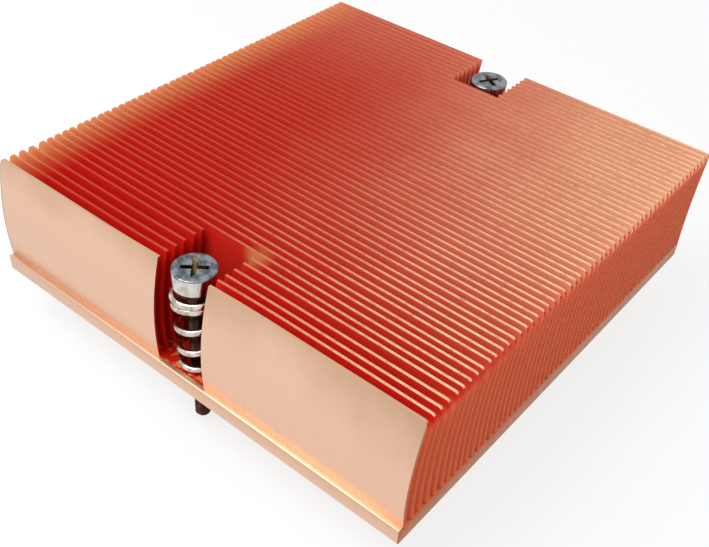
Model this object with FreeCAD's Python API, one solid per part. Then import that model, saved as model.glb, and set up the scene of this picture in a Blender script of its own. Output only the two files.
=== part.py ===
"""Passive server CPU heatsink, in millimetres.

A copper plate whose thin bowed fins are skived out of the same bar, so that plate and fins
are one piece of metal. Two sprung captive screws stand in notches cut through the fins at
the middle of the front and rear edges. A clip in a groove of each screw, under the plate,
holds the screw in its hole against the spring.

Frame: origin at the centre of the plate's underside, X along the fins, Y across them with
the front at -Y, Z up.
"""
import FreeCAD
import Part
import math
import os

from FreeCAD import Vector

# Base plate
base_length = 98.6          # X, along the fins
base_thickness = 3.3
base_edge = 0.25            # chamfer round the plate's top at the front and rear ledges

# Fins
fin_height = 21.9           # above the plate
fin_thickness = 0.5
front_pitch = 2.02          # between the first few fins, which stand a little further apart
front_gaps = 5              # how many gaps are that wide
fin_pitch = 1.745           # between all the other fins
fin_lean = 2.0              # how far a fin's tip stands behind its root
fin_bow = 1.1               # how far a fin's middle bows forward of the line from root to tip
fin_steps = 6               # flats that make up the bow
fin_corner = 0.8            # bevel of a fin's two top corners
front_ledge = 1.04          # bare strip of plate in front of the first fin
rear_ledge = 0.3            # least bare strip behind the last fin's root

# Captive screws
screw_spacing = 88.9        # between the two screws, along Y
screw_edge = 5.15           # from each screw's axis to the plate's front or rear edge
head_diameter = 8.0
head_height = 3.4
head_edge = 0.3             # chamfer round the head's top
recess_width = 0.95         # one arm of the cross recess
recess_span = 5.0           # across two arms at the top of the head
recess_depth = 2.0
recess_foot = 1.6           # across two arms at the bottom of the recess
front_recess_turn = 40.0    # degrees from X to the front recess's arms
rear_recess_turn = 61.0
shoulder_diameter = 7.2     # seat of the spring under the head
shoulder_height = 0.9
shank_diameter = 3.4
thread_diameter = 3.0
thread_reach = 10.2         # tip below the plate's underside
thread_lead = 0.5           # chamfer at the tip
thread_top = 1.2            # thread's start below the plate's underside
hole_clearance = 0.1        # radial, round the shank in the plate

# Notches in the fins round the screws
notch_side_room = 1.75      # from the head to each side wall, before the notch is shifted
notch_back_room = 2.6       # least distance from the head to the nearest whole fin's root
notch_shift = -0.6          # X, from the screw to the notch's middle

# Springs
spring_height = 17.6        # from the plate to the screw's shoulder
wire_diameter = 1.25
wire_sides = 8
spring_top_diameter = 8.1   # wire centre to wire centre, top coil
spring_foot_diameter = 6.6  # the same, bottom coil
top_closed_turns = 1.4
foot_closed_turns = 0.5
active_turns = 2.75
steps_per_turn = 20
spring_top_angle = 80.0     # degrees from +X to the wire's top end
seat_gap = 0.02             # spring to shoulder, and clip to the plate's counterbore

# Retaining clips
clip_thickness = 0.6
clip_diameter = 6.4
groove_depth = 0.45         # into the shank
groove_clearance = 0.05     # round the clip in its groove
clip_mouth = 1.9            # opening at the clip's side
clip_pocket = 1.1           # radius of the two pockets between the clip's three jaws
clip_pocket_angle = 35.0    # degrees of the pockets' middles behind the clip's widest line
counterbore_diameter = 7.4
clip_cover = 0.3            # from the clip to the plate's underside


def box(low, high):
    """Box between two corners."""
    size = [b - a for a, b in zip(low, high)]
    return Part.makeBox(size[0], size[1], size[2], Vector(*low))


def turned(points, x, y):
    """Solid of revolution about the upright line through x, y. Points are (radius, z)."""
    corners = [Vector(radius, 0, z) for radius, z in points]
    face = Part.Face(Part.makePolygon(corners + corners[:1]))
    solid = face.revolve(Vector(0, 0, 0), Vector(0, 0, 1), 360)
    solid.translate(Vector(x, y, 0))
    return solid


# Heights on the screws' axes
shoulder_z = base_thickness + spring_height
head_z = shoulder_z + shoulder_height
head_top_z = head_z + head_height
clip_z = clip_cover
counterbore_top_z = clip_z + clip_thickness + seat_gap

# Places across the fins
base_depth = screw_spacing + 2 * screw_edge
half_length = base_length / 2
half_depth = base_depth / 2
front_span = front_gaps * front_pitch
rear_span = base_depth - front_ledge - front_span - fin_thickness - rear_ledge
fin_count = 1 + front_gaps + int(rear_span / fin_pitch)
screw_y = screw_spacing / 2
notch_half_width = head_diameter / 2 + notch_side_room
notch_back_y = screw_y - head_diameter / 2 - notch_back_room


def fin_root(number):
    """Y of a fin's front face at the plate, counted from 0 at the front."""
    wide = min(number, front_gaps)
    return front_ledge - half_depth + wide * front_pitch + (number - wide) * fin_pitch


def fin_points(y):
    """Points up a fin's bowed face, from y at the plate to the tip."""
    points = []
    for step in range(fin_steps + 1):
        share = step / fin_steps
        offset = fin_lean * share - 4 * fin_bow * share * (1 - share)
        points.append(Vector(0, y + offset, base_thickness + fin_height * share))
    return points


def between(front_y, rear_y):
    """Outline from the plate up one bowed line and down another behind it."""
    return fin_points(front_y) + fin_points(rear_y)[::-1]


def extruded(points, x_low, x_high):
    """Solid with the outline that the points give, from x_low to x_high."""
    face = Part.Face(Part.makePolygon(points + points[:1]))
    face.translate(Vector(x_low, 0, 0))
    return face.extrude(Vector(x_high - x_low, 0, 0))


def comb():
    """Plate and fins, with square top corners and no notches."""
    top = base_thickness
    outline = [
        Vector(0, -half_depth, 0),
        Vector(0, -half_depth, top - base_edge),
        Vector(0, -half_depth + base_edge, top),
    ]
    for number in range(fin_count):
        outline += between(fin_root(number), fin_root(number) + fin_thickness)
    outline += [
        Vector(0, half_depth - base_edge, top),
        Vector(0, half_depth, top - base_edge),
        Vector(0, half_depth, 0),
    ]
    return extruded(outline, -half_length, half_length)


def side_outline():
    """Block over the whole comb, bevelled along the top at both ends of the fins."""
    top = base_thickness + fin_height
    front = -half_depth - fin_bow
    block = box((-half_length, front, 0), (half_length, half_depth + fin_lean + fin_pitch, top))
    corners = [edge for edge in block.Edges
               if all(abs(vertex.Z - top) < 1e-6 for vertex in edge.Vertexes)
               and abs(edge.Vertexes[0].X - edge.Vertexes[1].X) < 1e-6]
    return block.makeChamfer(fin_corner, corners)


def notches():
    """Cutters for the fins that would stand against the screws, each shaped like a gap."""
    cutters = []
    in_front = [n for n in range(fin_count) if fin_root(n) < -notch_back_y]
    behind = [n for n in range(fin_count) if fin_root(n) > notch_back_y]
    half_gap = (fin_pitch - fin_thickness) / 2
    for group in (in_front, behind):
        front_y = fin_root(group[0]) - half_gap
        rear_y = fin_root(group[-1]) + fin_thickness + half_gap
        low = notch_shift - notch_half_width
        cutters.append(extruded(between(front_y, rear_y), low, low + 2 * notch_half_width))
    return cutters


def finned_base():
    cutters = notches()
    hole = shank_diameter / 2 + hole_clearance
    for y in (-screw_y, screw_y):
        at = Vector(0, y, 0)
        cutters.append(Part.makeCylinder(hole, base_thickness, at))
        cutters.append(Part.makeCylinder(counterbore_diameter / 2, counterbore_top_z, at))
    return comb().common(side_outline()).cut(cutters)


def cross_recess(y, turn):
    """Tapered cross that a screwdriver fits, in the head's top."""
    low = head_top_z - recess_depth
    cone = Part.makeCone(recess_foot / 2, recess_span / 2, recess_depth, Vector(0, y, low))
    reach = recess_span / 2
    half = recess_width / 2
    arms = box((-reach, y - half, low), (reach, y + half, head_top_z))
    arms = arms.fuse(box((-half, y - reach, low), (half, y + reach, head_top_z)))
    recess = cone.common(arms).removeSplitter()
    recess.rotate(Vector(0, y, 0), Vector(0, 0, 1), turn)
    return recess


def screw(y, recess_turn):
    head = head_diameter / 2
    shoulder = shoulder_diameter / 2
    shank = shank_diameter / 2
    groove = shank - groove_depth
    thread = thread_diameter / 2
    groove_top = clip_z + clip_thickness + groove_clearance
    groove_foot = clip_z - groove_clearance
    outline = [
        (0, -thread_reach),
        (thread - thread_lead, -thread_reach),
        (thread, thread_lead - thread_reach),
        (thread, -thread_top),
        (shank, -thread_top + shank - thread),
        (shank, groove_foot),
        (groove, groove_foot),
        (groove, groove_top),
        (shank, groove_top),
        (shank, shoulder_z),
        (shoulder, shoulder_z),
        (shoulder, head_z),
        (head, head_z),
        (head, head_top_z - head_edge),
        (head - head_edge, head_top_z),
        (0, head_top_z),
    ]
    return turned(outline, 0, y).cut(cross_recess(y, recess_turn))


def spring_path():
    """Corners of the wire's centre line about X = Y = 0, from the plate up: a closed coil at
    each end, an open coil between them, and a taper from the top coil to the foot."""
    rise = spring_height - wire_diameter - seat_gap
    closed_rise = wire_diameter * (foot_closed_turns + top_closed_turns)
    open_pitch = (rise - closed_rise) / active_turns
    turns = foot_closed_turns + active_turns + top_closed_turns
    steps = round(turns * steps_per_turn)
    path = []
    for step in range(steps + 1):
        turn = turns * step / steps
        opened = min(max(turn - foot_closed_turns, 0), active_turns)
        height = opened * open_pitch + (turn - opened) * wire_diameter
        share = height / rise
        diameter = spring_foot_diameter + (spring_top_diameter - spring_foot_diameter) * share
        angle = math.radians(spring_top_angle - 360 * (turns - turn))
        z = base_thickness + wire_diameter / 2 + height
        path.append(Vector(math.cos(angle) * diameter / 2, math.sin(angle) * diameter / 2, z))
    return path


def spring(y):
    path = spring_path()
    ahead = (path[1] - path[0]).normalize()
    upward = Vector(path[0].x, path[0].y, 0).cross(ahead).normalize()
    outward = ahead.cross(upward)
    corner = wire_diameter / 2 / math.cos(math.pi / wire_sides)
    ring = []
    for side in range(wire_sides):
        angle = (side + 0.5) * 2 * math.pi / wire_sides
        ring.append(path[0] + (outward * math.cos(angle) + upward * math.sin(angle)) * corner)
    section = Part.makePolygon(ring + ring[:1])
    wire = Part.makePolygon(path)
    sweep = Part.BRepOffsetAPI.MakePipeShell(wire)
    sweep.setTransitionMode(1)
    sweep.setFrenetMode(True)
    sweep.add(section)
    sweep.build()
    sweep.makeSolid()
    solid = sweep.shape()
    solid.translate(Vector(0, y, 0))
    return solid


def retaining_clip(y):
    """E-shaped ring: three jaws grip the groove, and its mouth faces the middle."""
    jaws = shank_diameter / 2 - groove_depth + groove_clearance
    inward = -math.copysign(1, y)
    ring = Part.makeCylinder(clip_diameter / 2, clip_thickness)
    cutters = [Part.makeCylinder(jaws, clip_thickness)]
    mouth = sorted((0, inward * clip_diameter))
    cutters.append(box((-clip_mouth / 2, mouth[0], 0), (clip_mouth / 2, mouth[1], clip_thickness)))
    angle = math.radians(clip_pocket_angle)
    for side in (-1, 1):
        middle = Vector(side * jaws * math.cos(angle), -inward * jaws * math.sin(angle), 0)
        cutters.append(Part.makeCylinder(clip_pocket, clip_thickness, middle))
    clip = ring.cut(cutters)
    clip.translate(Vector(0, y, clip_z))
    return clip


def main():
    os.makedirs("parts", exist_ok=True)
    shapes = {"finned_base": finned_base()}
    places = (("front", -screw_y, front_recess_turn), ("rear", screw_y, rear_recess_turn))
    for place, y, recess_turn in places:
        shapes[place + "_captive_screw"] = screw(y, recess_turn)
        shapes[place + "_spring"] = spring(y)
        shapes[place + "_retaining_clip"] = retaining_clip(y)
    for name, shape in shapes.items():
        shape.exportStep(os.path.join("parts", name + ".step"))


main()
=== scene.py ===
"""Looks of a passive server CPU heatsink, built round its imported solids.

Skived copper plate and fins, two nickel-plated captive screws with M3 threads, their
springs and their retaining clips, on a pale studio floor. Lengths here are in millimetres
and turn to metres where a mesh or a node tree takes them.
"""
import math

import bmesh
import bpy
from bpy.props import (
    FloatProperty, FloatVectorProperty, IntProperty, PointerProperty, StringProperty)
from bpy.types import Operator, Panel, PropertyGroup
from mathutils import Matrix, Vector


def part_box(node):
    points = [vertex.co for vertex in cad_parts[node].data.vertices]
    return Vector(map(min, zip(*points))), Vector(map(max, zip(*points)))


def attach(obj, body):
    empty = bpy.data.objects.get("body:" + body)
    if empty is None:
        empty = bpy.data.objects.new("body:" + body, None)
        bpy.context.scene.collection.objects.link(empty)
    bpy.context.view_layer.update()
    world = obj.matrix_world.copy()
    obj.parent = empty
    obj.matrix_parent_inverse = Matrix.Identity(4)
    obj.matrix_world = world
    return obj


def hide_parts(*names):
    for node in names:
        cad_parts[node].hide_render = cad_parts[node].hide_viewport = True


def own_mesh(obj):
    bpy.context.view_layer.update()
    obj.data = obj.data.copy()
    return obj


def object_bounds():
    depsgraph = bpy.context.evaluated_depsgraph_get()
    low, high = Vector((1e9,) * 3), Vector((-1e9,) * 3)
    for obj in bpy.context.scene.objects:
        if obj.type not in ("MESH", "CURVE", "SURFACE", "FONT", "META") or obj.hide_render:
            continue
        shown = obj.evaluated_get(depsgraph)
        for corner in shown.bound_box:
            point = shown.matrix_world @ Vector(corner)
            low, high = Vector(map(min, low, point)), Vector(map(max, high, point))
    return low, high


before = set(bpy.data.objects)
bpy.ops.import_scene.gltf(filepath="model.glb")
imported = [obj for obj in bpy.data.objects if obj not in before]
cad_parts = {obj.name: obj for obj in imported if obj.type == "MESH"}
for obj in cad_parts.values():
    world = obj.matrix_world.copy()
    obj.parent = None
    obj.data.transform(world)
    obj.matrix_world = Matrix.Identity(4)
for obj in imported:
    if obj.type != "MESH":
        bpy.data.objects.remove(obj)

bl_info = {
    "name": "Skived Copper Heatsink",
    "version": (1, 0, 0),
    "blender": (4, 5, 0),
    "location": "3D View > Sidebar > Heatsink",
    "description": "Builds the fins, plate, captive screws and springs of a low server heatsink",
    "category": "Add Mesh",
}

CAD_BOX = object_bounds()
MM = 0.001


def mm(*lengths):
    """Lengths in millimetres, turned to metres."""
    return tuple(length * MM for length in lengths)


def box_mm(name):
    """Lowest and highest corner of a CAD node, in millimetres."""
    low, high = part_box(name)
    return low / MM, high / MM


BASE_LOW, BASE_HIGH = box_mm("finned_base")
SPRING_LOW, SPRING_HIGH = box_mm("front_spring")
SCREW_LOW, SCREW_HIGH = box_mm("front_captive_screw")
CLIP_LOW, CLIP_HIGH = box_mm("front_retaining_clip")
HALF_WIDTH, FRONT, TIPS = BASE_HIGH.x, BASE_LOW.y, BASE_HIGH.z
PLATE_TOP = SPRING_LOW.z
HEAD_RADIUS = (SCREW_HIGH.x - SCREW_LOW.x) / 2
FRONT_SCREW_Y = (SCREW_LOW.y + SCREW_HIGH.y) / 2
SCREW_PLACES = {"front": FRONT_SCREW_Y, "rear": -FRONT_SCREW_Y}


# ---------------------------------------------------------------- sizes and colours
# Lengths have no unit of Blender's, which would read them as metres.

class FinSizes(PropertyGroup):
    """Plate and skived fins."""
    plate_top: FloatProperty(
        name="Plate top", description="Height of the plate's top face",
        default=PLATE_TOP)
    ledge_edge: FloatProperty(
        name="Ledge edge", description="Rounding of the plate's edges", default=0.22)
    first_root: FloatProperty(
        name="First fin", description="Bare plate in front of the first fin",
        default=1.04)
    front_pitch: FloatProperty(
        name="Front pitch", description="From one fin to the next at the front",
        default=2.02)
    front_gaps: IntProperty(
        name="Front gaps", description="How many gaps have the front pitch", default=5)
    pitch: FloatProperty(
        name="Pitch", description="From one fin to the next elsewhere",
        default=1.745)
    thickness: FloatProperty(
        name="Thickness", description="Thickness of a fin", default=0.5)
    count: IntProperty(name="Fins", description="Number of fins", default=56)
    lean: FloatProperty(
        name="Lean", description="How far a fin's tip stands behind its root",
        default=2.0)
    bow: FloatProperty(
        name="Bow", description="How far a fin's middle bows forward", default=1.1)
    corner: FloatProperty(
        name="Corner", description="Radius of a fin's top corners", default=0.9)
    notch_half: FloatProperty(
        name="Notch half width", description="From the middle to a notch's side",
        default=5.75)
    notch_shift: FloatProperty(
        name="Notch shift", description="From the screws to the notches' middle",
        default=-0.6)
    front_notched: IntProperty(
        name="Front notch", description="Fins cut away at the front notch", default=6)
    rear_notched: IntProperty(
        name="Rear notch", description="Fins cut away at the rear notch", default=7)
    unevenness: FloatProperty(
        name="Unevenness", description="How far a fin's tip strays from its place",
        default=0.16)
    waviness: FloatProperty(
        name="Waviness", description="Depth of the long waves in a fin", default=0.24)
    splay: FloatProperty(
        name="Splay", description="How far the first fin's tip fans out, forward at -X, back at +X",
        default=0.62)
    seed: IntProperty(name="Seed", description="Seed of the fins' unevenness", default=7)


class ScrewSizes(PropertyGroup):
    """Captive screws."""
    head_height: FloatProperty(
        name="Head height", description="Height of the cylindrical head", default=3.4)
    head_edge: FloatProperty(
        name="Head edge", description="Radius round the head's top", default=0.35)
    shoulder_diameter: FloatProperty(
        name="Shoulder", description="Diameter of the spring's seat", default=7.2)
    shank_diameter: FloatProperty(
        name="Shank", description="Diameter of the plain shank", default=3.4)
    groove_depth: FloatProperty(
        name="Groove", description="Depth of the clip's groove", default=0.45)
    thread_diameter: FloatProperty(
        name="Thread", description="Outside diameter of the thread", default=3.0)
    thread_pitch: FloatProperty(
        name="Thread pitch", description="Rise of the thread in one turn", default=0.5)
    thread_depth: FloatProperty(
        name="Thread depth", description="Radial depth of the thread", default=0.27)
    thread_top: FloatProperty(
        name="Thread top", description="Thread's start below the plate", default=1.2)
    recess_span: FloatProperty(
        name="Recess span", description="Across two arms of the cross recess",
        default=5.0)
    recess_foot: FloatProperty(
        name="Recess foot", description="Across two arms at its bottom", default=1.6)
    recess_width: FloatProperty(
        name="Recess arm", description="Width of one arm of the recess", default=0.95)
    recess_depth: FloatProperty(
        name="Recess depth", description="Depth of the recess", default=2.0)
    front_turn: FloatProperty(
        name="Front screw turn", description="Turn of the front screw's recess", subtype="ANGLE",
        default=math.radians(40))
    rear_turn: FloatProperty(
        name="Rear screw turn", description="Turn of the rear screw's recess", subtype="ANGLE",
        default=math.radians(61))


class SpringSizes(PropertyGroup):
    """Compression springs under the screws' heads."""
    wire: FloatProperty(
        name="Wire", description="Diameter of the wire", default=1.25)
    wire_sides: IntProperty(name="Wire sides", description="Sides of the round wire", default=20)
    top_diameter: FloatProperty(
        name="Top coil", description="Wire centre to wire centre of the top coil",
        default=8.1)
    foot_diameter: FloatProperty(
        name="Foot coil", description="Wire centre to wire centre of the bottom coil",
        default=6.6)
    foot_turns: FloatProperty(
        name="Foot turns", description="Closed turns at the foot", default=0.5)
    open_turns: FloatProperty(name="Open turns", description="Open turns between", default=2.75)
    top_turns: FloatProperty(name="Top turns", description="Closed turns at the top", default=1.4)
    top_angle: FloatProperty(
        name="Top end", description="Direction of the wire's top end from +X", subtype="ANGLE",
        default=math.radians(80))
    steps: IntProperty(name="Steps", description="Straight steps in one turn of wire", default=40)


class StudioSetup(PropertyGroup):
    """Camera, floor and light."""
    azimuth: FloatProperty(
        name="Azimuth", description="Camera's direction round the part", subtype="ANGLE",
        default=math.radians(36.785))
    elevation: FloatProperty(
        name="Elevation", description="Camera's height above the horizon", subtype="ANGLE",
        default=math.radians(39.975))
    roll: FloatProperty(
        name="Roll", description="Turn of the camera about its own axis", subtype="ANGLE",
        default=math.radians(4.185))
    distance: FloatProperty(
        name="Distance", description="From the plate's middle to the camera",
        default=206.57)
    right: FloatProperty(
        name="Right", description="Camera's step to its right", default=-0.253)
    up: FloatProperty(
        name="Up", description="Camera's step upwards", default=-2.677)
    lens: FloatProperty(
        name="Lens", description="Focal length", unit="CAMERA", default=49.93)
    floor_gap: FloatProperty(
        name="Floor gap", description="From the lowest point down to the floor",
        default=0.2)
    world_strength: FloatProperty(
        name="Surroundings", description="Strength of the surroundings' light", default=0.62)
    key_power: FloatProperty(
        name="Key light", description="Power of the soft box", unit="POWER", default=1.6)
    key_size: FloatProperty(
        name="Key size", description="Side of the square soft box", default=300)
    key_place: FloatVectorProperty(
        name="Key place", description="Middle of the soft box, from the plate's middle",
        subtype="XYZ", default=(-120, -200, 420))


class FinishColours(PropertyGroup):
    """Colours of the finishes, as sRGB hex values."""
    copper: StringProperty(name="Copper", description="Bare skived copper", default="#EAC3A9")
    # Painted shade: browns the fins' faces towards their tips, the ledge and the first fin's foot,
    # and colours the first fin's tip.
    copper_shade: StringProperty(
        name="Copper shade", description="Browner copper near the fins' tips", default="#C9A284")
    # Painted shade: darker red on the plate's sawn sides.
    shaded_copper_side: StringProperty(
        name="Copper side", description="Sawn sides of the plate", default="#B46C44")
    # The gap colours are painted light: the red of light passed from fin to fin, paler towards +X
    # and the rear and golden at the -X ends; gap_side paints the daylight between the +X ends.
    gap_deep: StringProperty(
        name="Deep gap", description="Copper between the fins, where it is reddest",
        default="#D81E12")
    gap_red: StringProperty(
        name="Red gap", description="Copper between the fins towards the left rear",
        default="#D2402C")
    gap_warm: StringProperty(
        name="Warm gap", description="Copper between the fins, where it is palest",
        default="#F2BC94")
    gap_gold: StringProperty(
        name="Golden gap", description="Copper between the fins at their -X ends",
        default="#E48C54")
    gap_side: StringProperty(
        name="Gap side", description="Copper between the fins' sheared ends", default="#FF945C")
    # Painted light on the fins' tips: from deep red to a warm highlight towards +X, and golden at
    # the -X ends.
    tip_deep: StringProperty(
        name="Deep tip", description="Fins' tips over the reddest gaps", default="#B83A2A")
    tip_warm: StringProperty(
        name="Warm tip", description="Fins' tips over the palest gaps", default="#FFD2A8")
    tip_gold: StringProperty(
        name="Golden tip", description="Fins' tips at their -X ends", default="#D09064")
    # Painted shade: dark red down the fins' sheared ends, redder at their top corners.
    fin_end: StringProperty(
        name="Fin end", description="Sheared ends of the fins", default="#BC4226")
    fin_corner: StringProperty(
        name="Fin corner", description="Fins' rounded top corners", default="#D02C18")
    nickel: StringProperty(name="Nickel", description="Bright nickel plate", default="#D8D6D0")
    nickel_stain: StringProperty(
        name="Nickel stain", description="Patches in the bright nickel", default="#BCB8B0")
    # Painted reflection: a darker, bluish grey copy of the nickel for the heads' top faces.
    shaded_top_nickel: StringProperty(
        name="Shaded top nickel", description="Duller nickel on the heads' tops", default="#8C9298")
    shaded_top_nickel_patches: StringProperty(
        name="Shaded top nickel patches", description="Bluish patches on the heads' tops",
        default="#545C60")
    # Painted shade in the cross recess, with patches of a painted golden glint.
    recess: StringProperty(
        name="Recess", description="Dark bare steel in the cross recess", default="#342E28")
    recess_glint: StringProperty(
        name="Recess glint", description="Golden glint in the recess", default="#947C50")
    spring: StringProperty(name="Spring", description="Plated music wire", default="#D8D2C6")
    spring_stain: StringProperty(
        name="Spring stain", description="Duller patches on the wire", default="#A8A094")
    # Painted shade: dark brown for the shoulder under the head, the shank and the thread, with
    # darker patches.
    shank: StringProperty(name="Shank", description="Oiled steel of shank and thread",
                          default="#4A2E28")
    shank_shade_patches: StringProperty(
        name="Shank shade patches", description="Darker patches in the oil", default="#38241F")
    clip: StringProperty(name="Clip", description="Plain spring steel", default="#8C8C8E")
    clip_stain: StringProperty(
        name="Clip stain", description="Patches on the clip", default="#707072")
    floor: StringProperty(name="Floor", description="Pale paper floor", default="#F4F4F4")


# ---------------------------------------------------------------- helpers

def linear(hex_value):
    """sRGB hex to linear colour with alpha."""
    channels = [int(hex_value[i:i + 2], 16) / 255 for i in (1, 3, 5)]
    return tuple(c / 12.92 if c <= 0.04045 else ((c + 0.055) / 1.055) ** 2.4
                 for c in channels) + (1.0,)


def plug(tree, node, inputs):
    """Sets a node's inputs to values, or links them to outputs or to nodes' first outputs."""
    for key, value in inputs.items():
        if isinstance(value, bpy.types.Node):
            value = value.outputs[0]
        if isinstance(value, bpy.types.NodeSocket):
            tree.links.new(value, node.inputs[key])
        else:
            node.inputs[key].default_value = value


def add(tree, kind, inputs=None, **settings):
    """Adds a node with its settings and plugs in its inputs."""
    node = tree.nodes.new(kind)
    for name, value in settings.items():
        setattr(node, name, value)
    plug(tree, node, inputs or {})
    return node


def new_object(name, data):
    """Object of a mesh, a lamp or a camera, in the scene."""
    made = bpy.data.objects.new(name, data)
    bpy.context.scene.collection.objects.link(made)
    return made


def keep_edges(mesh, angle=35):
    """Shades a mesh smooth, apart from its edges past an angle in degrees."""
    mesh.shade_smooth()
    mesh.set_sharp_from_angle(angle=math.radians(angle))


def mesh_object(name, shape, smooth_angle=35):
    """Object of a bmesh in millimetres, with smooth shading up to an angle in degrees."""
    bmesh.ops.recalc_face_normals(shape, faces=shape.faces)
    mesh = bpy.data.meshes.new(name)
    shape.to_mesh(mesh)
    shape.free()
    mesh.transform(Matrix.Scale(MM, 4))
    keep_edges(mesh, smooth_angle)
    return new_object(name, mesh)


def applied(made):
    """Gives an object its evaluated mesh and takes its modifiers off."""
    graph = bpy.context.evaluated_depsgraph_get()
    mesh = bpy.data.meshes.new_from_object(made.evaluated_get(graph))
    made.modifiers.clear()
    made.data = mesh
    mesh.name = made.name
    return made


def cut_by(made, cutter):
    """Takes the cutter's solid out of an object."""
    difference = made.modifiers.new("cut", "BOOLEAN")
    difference.operation = "DIFFERENCE"
    difference.solver = "EXACT"
    difference.object = cutter
    applied(made)
    bpy.data.objects.remove(cutter)
    return made


def soften(made, width, segments=3, angle=40):
    """Rounds an object's edges past an angle in degrees."""
    bevel = made.modifiers.new("edges", "BEVEL")
    bevel.width = width * MM
    bevel.segments = segments
    bevel.limit_method = "ANGLE"
    bevel.angle_limit = math.radians(angle)
    return applied(made)


def settle(made, body, node):
    """Puts a finished piece on its body in the place of a CAD node."""
    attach(made, body)
    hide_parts(node)


def lathe(rings, sides):
    """Closed surface of revolution. Each ring is (z, radius), from the foot up, where the
    radius may be a function of the angle."""
    shape = bmesh.new()
    rows = []
    for z, reach in rings:
        row = []
        for side in range(sides):
            angle = 2 * math.pi * side / sides
            radius = reach(angle) if callable(reach) else reach
            row.append(shape.verts.new((math.cos(angle) * radius, math.sin(angle) * radius, z)))
        rows.append(row)
    for low, high in zip(rows, rows[1:]):
        for side in range(sides):
            after = (side + 1) % sides
            shape.faces.new((low[side], low[after], high[after], high[side]))
    shape.faces.new(list(reversed(rows[0])))
    shape.faces.new(rows[-1])
    return shape


# ---------------------------------------------------------------- finishes

# Where the copper turns golden, towards the fins' -X ends.
GOLDEN_X = mm(-38, -50)


def scale_for(size):
    """A noise's scale for features of a size in millimetres."""
    return 1 / (size * MM)


def new_finish(name):
    """A new material's tree and shader."""
    material = bpy.data.materials.new(name)
    material.use_nodes = True
    return material.node_tree, material.node_tree.nodes["Principled BSDF"]


def taken_over(tree, tone, other, value, span):
    """Colour that goes from tone to other as the value crosses a span, which may run
    downwards. Tones are hex values or other nodes' outputs."""
    tone, other = (linear(c) if isinstance(c, str) else c for c in (tone, other))
    share = add(tree, "ShaderNodeMapRange", {
        "Value": value, "From Min": span[0], "From Max": span[1]},
        interpolation_type="SMOOTHSTEP")
    return add(tree, "ShaderNodeMix", {"Factor": share, 6: tone, 7: other},
               data_type="RGBA").outputs[2]


def blade_lines(tree, place):
    """Fine lines up a fin, as the skiving blade leaves them. Real ones are finer still, and
    these are as coarse as they need to be to show."""
    spacing, lengthened = 0.303, (1, 0.3, 0.03)
    along = add(tree, "ShaderNodeMapping", {"Vector": place, "Scale": lengthened})
    return add(tree, "ShaderNodeTexNoise", {
        "Vector": along, "Scale": scale_for(spacing), "Detail": 2.0, "Roughness": 0.6})


def patched(tree, place, axis):
    """One coordinate, shifted to and fro in patches, so that a tone has no straight edge."""
    patch, shift = 15.4, 20
    patches = add(tree, "ShaderNodeTexNoise", {
        "Vector": place, "Scale": scale_for(patch), "Detail": 3.0})
    stray = add(tree, "ShaderNodeMath", {0: patches, 1: 0.5}, operation="SUBTRACT")
    along = add(tree, "ShaderNodeSeparateXYZ", {0: place}).outputs[axis]
    return add(tree, "ShaderNodeMath", {
        0: stray, 1: shift * MM, 2: along}, operation="MULTIPLY_ADD")


def skived_copper(colours):
    """Bare copper as the skiving blade leaves it where it is open to view: a soft pale sheen
    with fine lines up each fin, and painted shade that browns it towards the tips."""
    slant, brown_heights = 0.08, mm(16, 32)
    ledge, ledge_reach = PLATE_TOP + 0.4, mm(-4, 4.5)
    side_skin = mm(HALF_WIDTH - 0.3, HALF_WIDTH - 0.1)
    tree, shader = new_finish("skived_copper")
    place = add(tree, "ShaderNodeTexCoord").outputs["Object"]
    spot = add(tree, "ShaderNodeSeparateXYZ", {0: place}).outputs
    # Painted shade: browner towards the tips, more so at +X.
    slanted = add(tree, "ShaderNodeMath", {
        0: spot["X"], 1: slant, 2: patched(tree, place, "Z")}, operation="MULTIPLY_ADD")
    tone = taken_over(tree, colours.copper, colours.copper_shade, slanted, brown_heights)
    # Painted shade: browner on the ledge in front of the fins and a little way up the first fin.
    above = add(tree, "ShaderNodeMath", {0: spot["Z"], 1: ledge * MM}, operation="SUBTRACT")
    from_ledge = add(tree, "ShaderNodeMath", {0: above}, operation="ABSOLUTE")
    tone = taken_over(tree, colours.copper_shade, tone, from_ledge, ledge_reach)
    # Painted shade: darker red on the plate's sawn sides at either end in X.
    aside = add(tree, "ShaderNodeMath", {0: spot["X"]}, operation="ABSOLUTE")
    tone = taken_over(tree, tone, colours.shaded_copper_side, aside, side_skin)
    lines = blade_lines(tree, place)
    rough = add(tree, "ShaderNodeMapRange", {
        "Value": lines, "From Min": 0.3, "From Max": 0.7, "To Min": 0.36, "To Max": 0.46})
    relief = add(tree, "ShaderNodeBump", {"Height": lines, "Strength": 0.1, "Distance": 0.02 * MM})
    plug(tree, shader, {
        "Base Color": tone, "Metallic": 1.0, "Roughness": rough, "Normal": relief})


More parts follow.
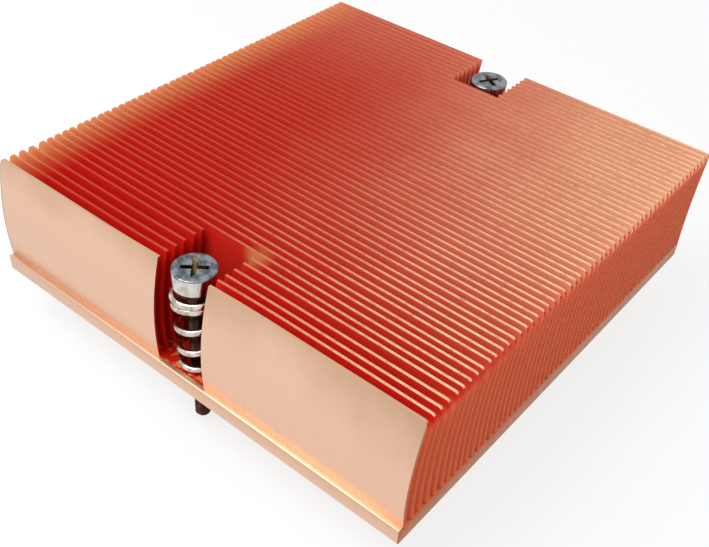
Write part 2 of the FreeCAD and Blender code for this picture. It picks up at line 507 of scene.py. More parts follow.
def gap_copper(colours):
    """Skived copper inside the gaps, where each face sees only the next one: light that goes
    from fin to fin turns red. Fine tearing scatters it, so it is less of a mirror."""
    warm_x, deep_y, pale_y = mm(-25, 55), mm(-48, 30), mm(5, 110)
    lit_x, lit_z = mm(HALF_WIDTH - 5.3, HALF_WIDTH - 1.1), mm(TIPS - 2.7, TIPS - 0.7)
    notch_corner, daylight = mm(5.2, FRONT + 14.4, TIPS - 0.7), mm(0.5, 3.8)
    plate_z = mm(PLATE_TOP, PLATE_TOP + 0.3)
    speck, speck_share = 1.667, (0.5, 0.62)
    tree, shader = new_finish("gap_copper")
    place = add(tree, "ShaderNodeTexCoord").outputs["Object"]
    spot = add(tree, "ShaderNodeSeparateXYZ", {0: place}).outputs
    # Painted light: paler towards +X and the rear, and golden at the fins' -X ends.
    warm = taken_over(
        tree, colours.gap_red, colours.gap_warm, patched(tree, place, "X"), warm_x)
    tone = taken_over(tree, colours.gap_deep, warm, spot["Y"], deep_y)
    tone = taken_over(tree, tone, colours.gap_warm, spot["Y"], pale_y)
    tone = taken_over(tree, tone, colours.gap_gold, spot["X"], GOLDEN_X)
    # Lighter where daylight comes in between the fins' +X ends.
    lit = taken_over(tree, colours.gap_side, tone, spot["Z"], lit_z)
    tone = taken_over(tree, tone, lit, spot["X"], lit_x)
    # Daylight also reaches the upper corner at the back of the front notch, on its +X side.
    corner = add(tree, "ShaderNodeVectorMath", {0: place, 1: notch_corner}, operation="DISTANCE")
    tone = taken_over(tree, colours.gap_gold, tone, corner.outputs["Value"], daylight)
    # Golden specks on the plate's top.
    specks = add(tree, "ShaderNodeTexNoise", {
        "Vector": place, "Scale": scale_for(speck), "Detail": 2.0})
    speckled = taken_over(tree, tone, colours.gap_gold, specks, speck_share)
    tone = taken_over(tree, speckled, tone, spot["Z"], plate_z)
    relief = add(tree, "ShaderNodeBump", {
        "Height": blade_lines(tree, place), "Strength": 0.2, "Distance": 0.02 * MM})
    plug(tree, shader, {
        "Base Color": tone, "Metallic": 0.35, "Roughness": 0.5, "Specular IOR Level": 0.1,
        "Normal": relief})


def sheared_copper(colours):
    """Copper cut across and rough, coloured with painted light: a painted highlight on the fins'
    tips and painted shade, dark red, down their ends.
    """
    warm_x, first_tip_y = mm(-20, 70), mm(FRONT + 4.2, FRONT + 4.5)
    corner_z, tip_z = mm(TIPS - 3, TIPS - 1), mm(TIPS - 0.3, TIPS - 0.05)
    notch_x = mm(9, 11)
    dash, dash_share, torn_grain = 1.11, (0.4, 1.15), 0.4
    tree, shader = new_finish("sheared_copper")
    place = add(tree, "ShaderNodeTexCoord").outputs["Object"]
    spot = add(tree, "ShaderNodeSeparateXYZ", {0: place}).outputs
    # Painted light: the tips go from deep red to a warm highlight towards +X, golden at the -X
    # ends.
    tip = taken_over(
        tree, colours.tip_deep, colours.tip_warm, patched(tree, place, "X"), warm_x)
    tip = taken_over(tree, tip, colours.tip_gold, spot["X"], GOLDEN_X)
    # Every tip breaks up into brighter and darker dashes.
    dashes = add(tree, "ShaderNodeTexNoise", {
        "Vector": place, "Scale": scale_for(dash), "Detail": 1.0})
    broken = taken_over(tree, tip, colours.tip_deep, dashes, dash_share)
    # The first fin's tip is as pale as its face.
    tip = taken_over(tree, colours.copper_shade, broken, spot["Y"], first_tip_y)
    # Painted shade: dark red down the fins' sheared ends, redder at their top corners.
    end = taken_over(tree, colours.fin_end, colours.fin_corner, spot["Z"], corner_z)
    # Painted shade: the ends inside the notches are as red as the gaps.
    aside = add(tree, "ShaderNodeMath", {0: spot["X"]}, operation="ABSOLUTE")
    end = taken_over(tree, colours.gap_deep, end, aside, notch_x)
    tone = taken_over(tree, end, tip, spot["Z"], tip_z)
    grain = add(tree, "ShaderNodeTexNoise", {
        "Vector": place, "Scale": scale_for(torn_grain), "Detail": 2.0})
    relief = add(tree, "ShaderNodeBump", {"Height": grain, "Strength": 0.2, "Distance": 0.03 * MM})
    plug(tree, shader, {
        "Base Color": tone, "Metallic": 0.7, "Roughness": 0.42, "Specular IOR Level": 0.1,
        "Normal": relief})


def steel(name, colour, second_tone, roughness, grain, depth):
    """Plated or plain steel: a smooth metal, mottled with a second tone, with a grain of a size
    and depth in millimetres. A real plate's grain is finer, and this one is drawn to show."""
    patch, patch_share = 1.43, (0.38, 0.62)
    tree, shader = new_finish(name)
    place = add(tree, "ShaderNodeTexCoord").outputs["Object"]
    patches = add(tree, "ShaderNodeTexNoise", {
        "Vector": place, "Scale": scale_for(patch), "Detail": 3.0})
    tone = taken_over(tree, colour, second_tone, patches, patch_share)
    grains = add(tree, "ShaderNodeTexNoise", {
        "Vector": place, "Scale": scale_for(grain), "Detail": 3.0})
    rough = add(tree, "ShaderNodeMapRange", {
        "Value": grains, "From Min": 0.3, "From Max": 0.7,
        "To Min": roughness * 0.7, "To Max": roughness * 1.4})
    relief = add(tree, "ShaderNodeBump", {
        "Height": grains, "Strength": 0.3, "Distance": depth * MM})
    plug(tree, shader, {
        "Base Color": tone, "Metallic": 1.0, "Roughness": rough, "Normal": relief})


def shown_white(tree):
    """1 where the eye or a mirror or glass looks straight at a surface, else 0."""
    path = add(tree, "ShaderNodeLightPath").outputs
    glossy = add(tree, "ShaderNodeMath", {
        0: path["Is Camera Ray"], 1: path["Is Glossy Ray"]}, operation="MAXIMUM")
    return add(tree, "ShaderNodeMath", {
        0: glossy, 1: path["Is Transmission Ray"]}, operation="MAXIMUM")


def white_paper(colours):
    """Matt white paper. Seen directly it is mostly plain white, and the rest keeps the shadow."""
    plain_share = 0.78
    tree, shader = new_finish("white_paper")
    plug(tree, shader, {
        "Base Color": linear(colours.floor), "Roughness": 0.9, "Specular IOR Level": 0.1})
    white = add(tree, "ShaderNodeEmission", {"Color": (1, 1, 1, 1), "Strength": 1.0})
    share = add(tree, "ShaderNodeMath", {0: shown_white(tree), 1: plain_share},
                operation="MULTIPLY")
    mixed = add(tree, "ShaderNodeMixShader", {0: share, 1: shader, 2: white})
    plug(tree, tree.nodes["Material Output"], {"Surface": mixed})


def finishes(context):
    """The finishes by name, made once."""
    if "skived_copper" not in bpy.data.materials:
        colours = context.scene.heatsink_colours
        for make in (skived_copper, gap_copper, sheared_copper, white_paper):
            make(colours)
        # Bright plate: a clear, softly rippled mirror with greyer patches.
        steel("nickel_plate", colours.nickel, colours.nickel_stain,
              roughness=0.16, grain=0.6, depth=0.004)
        # The same plate, darker and bluish grey on the heads' top faces: a painted reflection.
        steel("shaded_top_nickel", colours.shaded_top_nickel, colours.shaded_top_nickel_patches,
              roughness=0.3, grain=0.8, depth=0.01)
        # The cross recess: dark for painted shade, with patches of a painted golden glint.
        steel("shaded_recess_steel", colours.recess, colours.recess_glint,
              roughness=0.4, grain=0.3, depth=0.01)
        # Drawn and plated wire: a warm silver shine.
        steel("plated_music_wire", colours.spring, colours.spring_stain,
              roughness=0.2, grain=0.4, depth=0.004)
        # Painted shade on the shoulder, shank and thread: dark brown, with soft highlights.
        steel("shaded_shank_steel", colours.shank, colours.shank_shade_patches,
              roughness=0.35, grain=0.3, depth=0.01)
        # Tempered strip: a plain grey sheen.
        steel("spring_steel", colours.clip, colours.clip_stain,
              roughness=0.3, grain=0.3, depth=0.008)
    return bpy.data.materials


# ---------------------------------------------------------------- node trees

def name_sockets(tree, result, inputs):
    """Gives a tree its inputs, as names by kind, and one geometry as its result."""
    for kind, names in inputs.items():
        for name in names:
            tree.interface.new_socket(name, in_out="INPUT", socket_type="NodeSocket" + kind)
    tree.interface.new_socket(result, in_out="OUTPUT", socket_type="NodeSocketGeometry")


def fin_stack_tree():
    """Copies one upright sheet along Y, cuts the notches, bows, leans and unevens the copies
    and gives them their thickness. Whole numbers are compared halfway between two."""
    # Waves some 36 mm long. The step from fin to fin is so large that each fin has its own.
    waves_per_metre, wave_step = 28.0, 0.37
    splay_from, splay_to = mm(-20, 20)
    last_splayed, stray_growth, weld = 5, 1.5, 0.001 * MM
    tree = bpy.data.node_groups.new("fin_stack", "GeometryNodeTree")
    tree.is_modifier = True
    name_sockets(tree, "Fins", {
        "Geometry": ["Sheet"],
        "Int": ["Count", "Front Gaps", "Front Notched", "Rear Notched", "Seed"],
        "Float": ["Front Pitch", "Pitch", "First Root", "Plate Top", "Height", "Thickness",
                  "Lean", "Root Slope", "Notch Half", "Notch Shift", "Unevenness", "Waviness",
                  "Splay"],
        "Material": ["Open Finish", "Gap Finish", "Edge Finish"]})
    given = add(tree, "NodeGroupInput").outputs

    # Places: the first few gaps are wider than the others.
    start = add(tree, "ShaderNodeCombineXYZ", {"Y": given["First Root"], "Z": given["Plate Top"]})
    step = add(tree, "ShaderNodeCombineXYZ", {"Y": given["Pitch"]})
    line = add(tree, "GeometryNodeMeshLine", {
        "Count": given["Count"], "Start Location": start, "Offset": step})
    index = add(tree, "GeometryNodeInputIndex").outputs[0]
    wide = add(tree, "ShaderNodeMath", {0: index, 1: given["Front Gaps"]}, operation="MINIMUM")
    more = add(tree, "ShaderNodeMath", {
        0: given["Front Pitch"], 1: given["Pitch"]}, operation="SUBTRACT")
    widened = add(tree, "ShaderNodeMath", {0: wide, 1: more}, operation="MULTIPLY")
    spaced = add(tree, "GeometryNodeSetPosition", {
        "Geometry": line, "Offset": add(tree, "ShaderNodeCombineXYZ", {"Y": widened})})
    numbered = add(tree, "GeometryNodeStoreNamedAttribute", {
        "Geometry": spaced, "Name": "fin_number", "Value": index},
        data_type="INT", domain="POINT")
    placed = add(tree, "GeometryNodeInstanceOnPoints", {
        "Points": numbered, "Instance": given["Sheet"]})
    copies = add(tree, "GeometryNodeRealizeInstances", {0: placed})

    number = add(tree, "GeometryNodeInputNamedAttribute", {"Name": "fin_number"},
                 data_type="INT").outputs[0]
    place = add(tree, "ShaderNodeSeparateXYZ", {
        0: add(tree, "GeometryNodeInputPosition")}).outputs

    # Notches: faces near the middle of the first and the last few fins.
    from_middle = add(tree, "ShaderNodeMath", {
        0: place["X"], 1: given["Notch Shift"]}, operation="SUBTRACT")
    aside = add(tree, "ShaderNodeMath", {0: from_middle}, operation="ABSOLUTE")
    middle = add(tree, "ShaderNodeMath", {
        0: aside, 1: given["Notch Half"]}, operation="LESS_THAN")
    in_front = add(tree, "ShaderNodeMath", {
        0: number, 1: given["Front Notched"]}, operation="LESS_THAN")
    from_last = add(tree, "ShaderNodeMath", {0: given["Count"], 1: number}, operation="SUBTRACT")
    rear_limit = add(tree, "ShaderNodeMath", {
        0: given["Rear Notched"], 1: 0.5}, operation="ADD")
    behind = add(tree, "ShaderNodeMath", {0: from_last, 1: rear_limit}, operation="LESS_THAN")
    either = add(tree, "ShaderNodeMath", {0: in_front, 1: behind}, operation="MAXIMUM")
    cut = add(tree, "ShaderNodeMath", {0: middle, 1: either}, operation="MULTIPLY")
    notched = add(tree, "GeometryNodeDeleteGeometry", {0: copies, "Selection": cut},
                  domain="FACE")

    # Bow and lean: the slope grows evenly from the root's to the tip's.
    above = add(tree, "ShaderNodeMath", {
        0: place["Z"], 1: given["Plate Top"]}, operation="SUBTRACT")
    rise = add(tree, "ShaderNodeMath", {0: above, 1: given["Height"]}, operation="DIVIDE")
    slope = add(tree, "ShaderNodeMapRange", {
        "Value": rise, "To Min": given["Root Slope"], "To Max": given["Lean"]})
    bowed = add(tree, "ShaderNodeMath", {0: rise, 1: slope}, operation="MULTIPLY")

    # Unevenness: each fin strays by its own amount and has long shallow waves of its own.
    stray = add(tree, "FunctionNodeRandomValue", {
        2: -1.0, 3: 1.0, "ID": number, "Seed": given["Seed"]}, data_type="FLOAT").outputs[1]
    along = add(tree, "ShaderNodeCombineXYZ", {"X": place["X"], "Z": given["Seed"]})
    own = add(tree, "ShaderNodeMath", {0: number, 1: wave_step}, operation="MULTIPLY")
    waves = add(tree, "ShaderNodeTexNoise", {
        "Vector": along, "W": own, "Scale": waves_per_metre, "Detail": 1.0},
        noise_dimensions="4D")
    centred = add(tree, "ShaderNodeMath", {0: waves, 1: 0.5}, operation="SUBTRACT")
    waved = add(tree, "ShaderNodeMath", {0: centred, 1: given["Waviness"]}, operation="MULTIPLY")
    # Splay: backwards at +X and forwards at -X, less and less from the first fin on.
    to_right = add(tree, "ShaderNodeMapRange", {
        "Value": place["X"], "From Min": splay_from, "From Max": splay_to, "To Min": -1.0},
        interpolation_type="SMOOTHSTEP")
    to_first = add(tree, "ShaderNodeMapRange", {
        "Value": number, "From Min": last_splayed, "From Max": 0})
    share = add(tree, "ShaderNodeMath", {0: to_right, 1: to_first}, operation="MULTIPLY")
    fanned = add(tree, "ShaderNodeMath", {
        0: given["Splay"], 1: share, 2: waved}, operation="MULTIPLY_ADD")
    drift = add(tree, "ShaderNodeMath", {
        0: stray, 1: given["Unevenness"], 2: fanned}, operation="MULTIPLY_ADD")
    growth = add(tree, "ShaderNodeMath", {0: rise, 1: stray_growth}, operation="POWER")
    shifted = add(tree, "ShaderNodeMath", {
        0: drift, 1: growth, 2: bowed}, operation="MULTIPLY_ADD")
    moved = add(tree, "ShaderNodeMath", {0: shifted, 1: given["Thickness"]}, operation="ADD")
    rear = add(tree, "GeometryNodeSetPosition", {
        "Geometry": notched, "Offset": add(tree, "ShaderNodeCombineXYZ", {"Y": moved})})

    # Thickness: the rear sheet is drawn forward, and its copy turned round closes the back.
    back = add(tree, "ShaderNodeMath", {0: given["Thickness"], 1: -1.0}, operation="MULTIPLY")
    drawn = add(tree, "GeometryNodeExtrudeMesh", {
        "Mesh": rear, "Offset": add(tree, "ShaderNodeCombineXYZ", {"Y": back}),
        "Offset Scale": 1.0, "Individual": False}).outputs
    turned = add(tree, "GeometryNodeFlipFaces", {"Mesh": rear}).outputs

    # Finishes: only the first fin's front and the last fin's back are open to view, and faces
    # inside the gaps take the gap finish with its painted inter-reflection.
    first = add(tree, "ShaderNodeMath", {0: number, 1: 0.5}, operation="LESS_THAN")
    last = add(tree, "ShaderNodeMath", {0: from_last, 1: 1.5}, operation="LESS_THAN")
    first_face = add(tree, "ShaderNodeMath", {0: first, 1: drawn["Top"]}, operation="MULTIPLY")
    closed = add(tree, "GeometryNodeJoinGeometry")
    for part, faces in (
            (drawn["Mesh"], ((True, "Gap Finish"), (first_face, "Open Finish"),
                             (drawn["Side"], "Edge Finish"))),
            (turned[0], ((True, "Gap Finish"), (last, "Open Finish")))):
        for chosen, finish in faces:
            part = add(tree, "GeometryNodeSetMaterial", {
                "Geometry": part, "Selection": chosen, "Material": given[finish]})
        plug(tree, closed, {0: part})
    solid = add(tree, "GeometryNodeMergeByDistance", {"Geometry": closed, "Distance": weld})
    add(tree, "NodeGroupOutput", {0: add(tree, "GeometryNodeRealizeInstances", {0: solid})})
    return tree


def wire_tree():
    """Draws a round wire along the edges of its input."""
    tree = bpy.data.node_groups.new("round_wire", "GeometryNodeTree")
    tree.is_modifier = True
    name_sockets(tree, "Wire", {
        "Geometry": ["Path"], "Float": ["Radius"], "Int": ["Sides"], "Material": ["Finish"]})
    given = add(tree, "NodeGroupInput").outputs
    section = add(tree, "GeometryNodeCurvePrimitiveCircle", {
        "Resolution": given["Sides"], "Radius": given["Radius"]}, mode="RADIUS")
    path = add(tree, "GeometryNodeMeshToCurve", {"Mesh": given["Path"]})
    wire = add(tree, "GeometryNodeCurveToMesh", {
        "Curve": path, "Profile Curve": section, "Fill Caps": True})
    real = add(tree, "GeometryNodeRealizeInstances", {0: wire})
    finished = add(tree, "GeometryNodeSetMaterial", {
        "Geometry": real, "Material": given["Finish"]})
    add(tree, "NodeGroupOutput", {0: finished})
    return tree


def grown(made, tree, values):
    """Runs a node tree on an object with the given named inputs and keeps the result."""
    modifier = made.modifiers.new(tree.name, "NODES")
    modifier.node_group = tree
    for item in tree.interface.items_tree:
        if item.in_out == "INPUT" and item.name in values:
            modifier[item.identifier] = values[item.name]
    return applied(made)


# ---------------------------------------------------------------- pieces

def fin_sheet(sizes, height):
    """One flat upright fin on X and Z, standing at Y = 0, with rounded top corners. Two of
    its columns stand at the notch's sides."""
    half, shift, notch = HALF_WIDTH, sizes.notch_shift, sizes.notch_half
    outer_cells, inner_cells, rise_cells, corner_cells = 7, 3, 12, 5
    stops = (-half, shift - notch, shift + notch, half)
    columns = [half]
    for low, high, cells in zip(stops, stops[1:], (outer_cells, inner_cells, outer_cells)):
        columns += [low + (high - low) * i / cells for i in range(cells)]
    columns.sort()
    rows = [((height - sizes.corner) * i / rise_cells, half) for i in range(rise_cells)]
    for i in range(corner_cells + 1):
        angle = math.pi / 2 * i / corner_cells
        rows.append((height - sizes.corner * (1 - math.sin(angle)),
                     half - sizes.corner * (1 - math.cos(angle))))
    shape = bmesh.new()
    grid = [[shape.verts.new((max(-reach, min(reach, x)) * MM, 0, z * MM)) for x in columns]
            for z, reach in rows]
    for low, high in zip(grid, grid[1:]):
        for i in range(len(columns) - 1):
            shape.faces.new((low[i], low[i + 1], high[i + 1], high[i]))
    mesh = bpy.data.meshes.new("fin_stack")
    shape.to_mesh(mesh)
    shape.free()
    return new_object("fin_stack", mesh)


def spring_path(sizes, y):
    """Edges along the wire's middle, from the plate up: a closed coil at each end, open
    coils between them, and a taper from the top coil to the foot."""
    rise = SPRING_HIGH.z - SPRING_LOW.z - sizes.wire
    closed_rise = sizes.wire * (sizes.foot_turns + sizes.top_turns)
    open_pitch = (rise - closed_rise) / sizes.open_turns
    turns = sizes.foot_turns + sizes.open_turns + sizes.top_turns
    steps = round(turns * sizes.steps)
    points = []
    for step in range(steps + 1):
        turn = turns * step / steps
        opened = min(max(turn - sizes.foot_turns, 0), sizes.open_turns)
        height = opened * open_pitch + (turn - opened) * sizes.wire
        share = height / rise
        radius = (sizes.foot_diameter + (sizes.top_diameter - sizes.foot_diameter) * share) / 2
        angle = sizes.top_angle - 2 * math.pi * (turns - turn)
        points.append((math.cos(angle) * radius * MM, y * MM + math.sin(angle) * radius * MM,
                       (SPRING_LOW.z + sizes.wire / 2 + height) * MM))
    mesh = bpy.data.meshes.new("spring")
    mesh.from_pydata(points, [(i, i + 1) for i in range(steps)], [])
    return mesh


def screw_rings(sizes):
    """Rings of a screw about its own axis, from the thread's tip to the top of the head."""
    thread = sizes.thread_diameter / 2
    shank = sizes.shank_diameter / 2
    groove = shank - sizes.groove_depth
    shoulder = sizes.shoulder_diameter / 2
    tip, top = SCREW_LOW.z, -sizes.thread_top
    lead, lead_slope, tip_inset = 0.5, 0.8, 0.45
    flank_gain, rows_per_pitch, arc_steps = 1.25, 8, 6
    slack, seat_gap, chamfer = 0.05, 0.02, 0.12

    def threaded(z):
        def radius(angle):
            phase = (z / sizes.thread_pitch - angle / (2 * math.pi)) % 1
            # The flanks rise faster than the pitch needs, which leaves the crest flat.
            crest = min(1, flank_gain * abs(2 * phase - 1))
            runout = min(1, max(0, (top - z) / sizes.thread_pitch))
            cut = sizes.thread_depth * (1 - crest) * runout
            taper = max(0, lead - (z - tip)) * lead_slope
            return thread - max(cut, taper)
        return radius

    rings = [(tip, thread - tip_inset)]
    count = int((top - tip) / sizes.thread_pitch * rows_per_pitch)
    for row in range(1, count + 1):
        z = tip + (top - tip) * row / count
        rings.append((z, threaded(z)))
    groove_foot, groove_top = CLIP_LOW.z - slack, CLIP_HIGH.z + slack
    seat = SPRING_HIGH.z + seat_gap
    head_foot = SCREW_HIGH.z - sizes.head_height
    rings += [(top + shank - thread, shank), (groove_foot, shank), (groove_foot, groove),
              (groove_top, groove), (groove_top, shank), (seat, shank), (seat, shoulder),
              (head_foot, shoulder), (head_foot, HEAD_RADIUS - chamfer),
              (head_foot + chamfer, HEAD_RADIUS)]
    for step in range(arc_steps + 1):
        angle = math.pi / 2 * step / arc_steps
        rings.append((SCREW_HIGH.z - sizes.head_edge * (1 - math.sin(angle)),
                      HEAD_RADIUS - sizes.head_edge * (1 - math.cos(angle))))
    return rings


def cross_cutter(sizes, turn):
    """Cross recess of a screwdriver: a cross that narrows to its foot."""
    wide, narrow = sizes.recess_span / 2, sizes.recess_foot / 2
    arm, foot_share, mouth_share, above = sizes.recess_width / 2, 0.7, 1.08, 0.5
    flare = (wide - narrow) * above / sizes.recess_depth
    shape = bmesh.new()
    rings = []
    for reach, half, z in ((narrow, arm * foot_share, SCREW_HIGH.z - sizes.recess_depth),
                           (wide + flare, arm * mouth_share, SCREW_HIGH.z + above)):
        ring = []
        for quarter in range(4):
            spin = Matrix.Rotation(turn + quarter * math.pi / 2, 3, "Z")
            for x, y in ((reach, -half), (reach, half), (half, half)):
                ring.append(shape.verts.new(spin @ Vector((x, y, z))))
        rings.append(ring)
    shape.faces.new(list(reversed(rings[0])))
    shape.faces.new(rings[1])
    for i in range(len(rings[0])):
        after = (i + 1) % len(rings[0])
        shape.faces.new((rings[0][i], rings[0][after], rings[1][after], rings[1][i]))
    return mesh_object("cross_cutter", shape)


def between_fins(plate, first_root, metals):
    """Gives the plate's top behind the first fin's root the finish of the gaps."""
    level = 0.9
    shape = bmesh.new()
    shape.from_mesh(plate.data)
    bmesh.ops.bisect_plane(shape, geom=shape.verts[:] + shape.edges[:] + shape.faces[:],
                           plane_co=(0, first_root * MM, 0), plane_no=(0, 1, 0))
    shape.normal_update()
    for face in shape.faces:
        behind = face.calc_center_median().y > first_root * MM
        face.material_index = int(behind and face.normal.z > level)
    # Clearing the list also clears the faces' choice, so it comes first.
    plate.data.materials.clear()
    for name in ("skived_copper", "gap_copper"):
        plate.data.materials.append(metals[name])
    shape.to_mesh(plate.data)
    shape.free()


# ---------------------------------------------------------------- stage

def surroundings(studio):
    """An even pale room, white where it is seen directly."""
    world = bpy.data.worlds.new("pale_room")
    bpy.context.scene.world = world
    world.use_nodes = True
    tree = world.node_tree
    strength = add(tree, "ShaderNodeMapRange", {
        "Value": shown_white(tree), "To Min": studio.world_strength, "To Max": 1.0})
    plug(tree, tree.nodes["Background"], {"Color": (1, 1, 1, 1), "Strength": strength})


def soft_box(studio):
    """A square lamp that faces the part."""
    lamp = bpy.data.lights.new("key_box", "AREA")
    lamp.energy = studio.key_power
    lamp.size = studio.key_size * MM
    made = new_object("key_box", lamp)
    made.location = Vector(studio.key_place) * MM
    made.rotation_euler = (-made.location).to_track_quat("-Z", "Y").to_euler()


def aim_camera(studio):
    """Camera on a sphere round the plate's middle, rolled and stepped aside."""
    around, above = studio.azimuth, studio.elevation
    back = Vector((math.sin(around) * math.cos(above), -math.cos(around) * math.cos(above),
                   math.sin(above)))
    level = Vector((math.cos(around), math.sin(around), 0))
    upright = back.cross(level)
    right = level * math.cos(studio.roll) + upright * math.sin(studio.roll)
    up = upright * math.cos(studio.roll) - level * math.sin(studio.roll)
    lens = bpy.data.cameras.new("camera")
    lens.sensor_width = 36
    lens.lens = studio.lens
    lens.clip_start = 0.01
    lens.clip_end = 10
    camera = new_object("camera", lens)
    place = (back * studio.distance + right * studio.right + up * studio.up) * MM
    facing = Matrix((right, up, back)).transposed().to_4x4()
    camera.matrix_world = Matrix.Translation(place) @ facing
    bpy.context.scene.camera = camera


# ---------------------------------------------------------------- operators

class HEATSINK_OT_plate(Operator):
    """Builds the copper plate under the fins"""
    bl_idname = "heatsink.plate"
    bl_label = "Base Plate"

    def execute(self, context):
        sizes = context.scene.heatsink_fins
        low = Vector((-HALF_WIDTH, FRONT, 0))
        high = Vector((HALF_WIDTH, -FRONT, sizes.plate_top))
        shape = bmesh.new()
        bmesh.ops.create_cube(shape, size=1, matrix=Matrix.Translation((low + high) / 2)
                              @ Matrix.Diagonal((high - low).to_4d()))
        plate = mesh_object("base_plate", shape)
        soften(plate, sizes.ledge_edge)
        hole_play, counterbore, clip_gap, beyond, sides = 0.1, 3.7, 0.02, 1, 64
        hole = context.scene.heatsink_screws.shank_diameter / 2 + hole_play
        for y in SCREW_PLACES.values():
            for radius, top in ((hole, high.z + beyond), (counterbore, CLIP_HIGH.z + clip_gap)):
                shape = lathe([(-beyond, radius), (top, radius)], sides)
                bmesh.ops.translate(shape, verts=shape.verts, vec=(0, y, 0))
                cut_by(plate, mesh_object("hole_cutter", shape))
        between_fins(plate, FRONT + sizes.first_root, finishes(context))
        keep_edges(plate.data)
        settle(plate, "heatsink", "finned_base")
        return {"FINISHED"}


class HEATSINK_OT_fins(Operator):
    """Builds the stack of skived fins"""
    bl_idname = "heatsink.fins"
    bl_label = "Skived Fins"

    def execute(self, context):
        sizes = context.scene.heatsink_fins
        metals = finishes(context)
        height = TIPS - sizes.plate_top
        lengths = {
            "Front Pitch": sizes.front_pitch, "Pitch": sizes.pitch,
            "First Root": FRONT + sizes.first_root, "Plate Top": sizes.plate_top,
            "Height": height, "Thickness": sizes.thickness, "Lean": sizes.lean,
            "Root Slope": sizes.lean - 4 * sizes.bow, "Notch Half": sizes.notch_half,
            "Notch Shift": sizes.notch_shift, "Unevenness": sizes.unevenness,
            "Waviness": sizes.waviness, "Splay": sizes.splay}
        fins = grown(fin_sheet(sizes, height), fin_stack_tree(), {
            **{name: length * MM for name, length in lengths.items()},
            "Count": sizes.count, "Front Gaps": sizes.front_gaps, "Seed": sizes.seed,
            "Front Notched": sizes.front_notched, "Rear Notched": sizes.rear_notched,
            "Open Finish": metals["skived_copper"], "Gap Finish": metals["gap_copper"],
            "Edge Finish": metals["sheared_copper"]})
        keep_edges(fins.data)
        settle(fins, "heatsink", "finned_base")
        return {"FINISHED"}


class HEATSINK_OT_screws(Operator):
    """Builds the two captive screws with their threads and cross recesses"""
    bl_idname = "heatsink.screws"
    bl_label = "Captive Screws"

    def execute(self, context):
        sizes = context.scene.heatsink_screws
        metals = finishes(context)
        turns = {"front": sizes.front_turn, "rear": sizes.rear_turn}
        sides, smooth_angle, level, turned_up = 72, 40, 0.99, 0.3
        head_foot, rim = mm(SCREW_HIGH.z - sizes.head_height, HEAD_RADIUS - sizes.head_edge)
        bright, shaded_top, recess, shaded_shank = range(4)
        for place, y in SCREW_PLACES.items():
            screw = mesh_object(place + "_screw", lathe(screw_rings(sizes), sides), smooth_angle)
            cut_by(screw, cross_cutter(sizes, turns[place]))
            screw.data.transform(Matrix.Translation((0, y * MM, 0)))
            keep_edges(screw.data, smooth_angle)
            screw.data.materials.clear()
            for name in ("nickel_plate", "shaded_top_nickel", "shaded_recess_steel", "shaded_shank_steel"):
                screw.data.materials.append(metals[name])
            # Painted light by face: the shoulder, shank and thread are dark for painted shade,
            # faces turned up take the darker nickel of a painted reflection, and the recess walls
            # are dark for painted shade.
            for face in screw.data.polygons:
                reach = math.hypot(face.center.x, face.center.y - y * MM)
                face.material_index = bright
                if face.center.z < head_foot:
                    face.material_index = shaded_shank
                elif face.normal.z > (level if reach < rim else turned_up):
                    face.material_index = shaded_top
                elif reach < rim:
                    face.material_index = recess
            settle(screw, place + "_screw", place + "_captive_screw")
        return {"FINISHED"}


class HEATSINK_OT_springs(Operator):
    """Builds the two compression springs"""
    bl_idname = "heatsink.springs"
    bl_label = "Springs"

    def execute(self, context):
        sizes = context.scene.heatsink_springs
        tree, smooth_angle = wire_tree(), 50
        for place, y in SCREW_PLACES.items():
            wire = grown(new_object(place + "_coil", spring_path(sizes, y)), tree, {
                "Radius": sizes.wire / 2 * MM, "Sides": sizes.wire_sides,
                "Finish": finishes(context)["plated_music_wire"]})
            keep_edges(wire.data, smooth_angle)
            settle(wire, "heatsink", place + "_spring")
            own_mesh(wire)
        return {"FINISHED"}


class HEATSINK_OT_clips(Operator):
    """Gives the retaining clips their finish"""
    bl_idname = "heatsink.clips"
    bl_label = "Retaining Clips"

    def execute(self, context):
        for place in SCREW_PLACES:
            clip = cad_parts[place + "_retaining_clip"]
            clip.data.materials.clear()
            clip.data.materials.append(finishes(context)["spring_steel"])
        return {"FINISHED"}


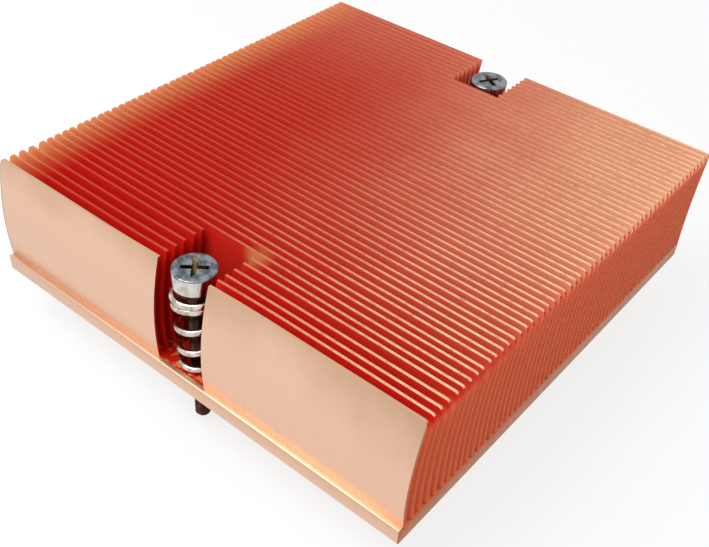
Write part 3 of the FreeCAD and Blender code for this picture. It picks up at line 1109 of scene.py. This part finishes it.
class HEATSINK_OT_stage(Operator):
    """Sets up the floor, the light and the camera"""
    bl_idname = "heatsink.stage"
    bl_label = "Studio"

    def execute(self, context):
        studio = context.scene.heatsink_studio
        reach, height = 2000, CAD_BOX[0].z / MM - studio.floor_gap
        shape = bmesh.new()
        bmesh.ops.create_grid(shape, x_segments=1, y_segments=1, size=reach)
        bmesh.ops.translate(shape, verts=shape.verts, vec=(0, 0, height))
        floor = mesh_object("studio_floor", shape)
        floor.data.materials.append(finishes(context)["white_paper"])
        surroundings(studio)
        soft_box(studio)
        aim_camera(studio)
        context.scene.view_settings.view_transform = "Standard"
        return {"FINISHED"}


class HEATSINK_PT_panel(Panel):
    """Lists the heatsink's builders"""
    bl_idname = "HEATSINK_PT_panel"
    bl_label = "Heatsink"
    bl_space_type = "VIEW_3D"
    bl_region_type = "UI"
    bl_category = "Heatsink"

    def draw(self, context):
        for operator in OPERATORS:
            self.layout.operator(operator.bl_idname)


GROUPS = {
    "heatsink_fins": FinSizes,
    "heatsink_screws": ScrewSizes,
    "heatsink_springs": SpringSizes,
    "heatsink_studio": StudioSetup,
    "heatsink_colours": FinishColours,
}
OPERATORS = (HEATSINK_OT_plate, HEATSINK_OT_fins, HEATSINK_OT_screws, HEATSINK_OT_springs,
             HEATSINK_OT_clips, HEATSINK_OT_stage)


def register():
    for name, group in GROUPS.items():
        bpy.utils.register_class(group)
        setattr(bpy.types.Scene, name, PointerProperty(type=group))
    for operator in OPERATORS:
        bpy.utils.register_class(operator)
    bpy.utils.register_class(HEATSINK_PT_panel)


def unregister():
    bpy.utils.unregister_class(HEATSINK_PT_panel)
    for operator in reversed(OPERATORS):
        bpy.utils.unregister_class(operator)
    for name, group in reversed(GROUPS.items()):
        delattr(bpy.types.Scene, name)
        bpy.utils.unregister_class(group)


def main():
    register()
    bpy.ops.heatsink.plate()
    bpy.ops.heatsink.fins()
    bpy.ops.heatsink.screws()
    bpy.ops.heatsink.springs()
    bpy.ops.heatsink.clips()
    bpy.ops.heatsink.stage()


if __name__ == "__main__":
    main()
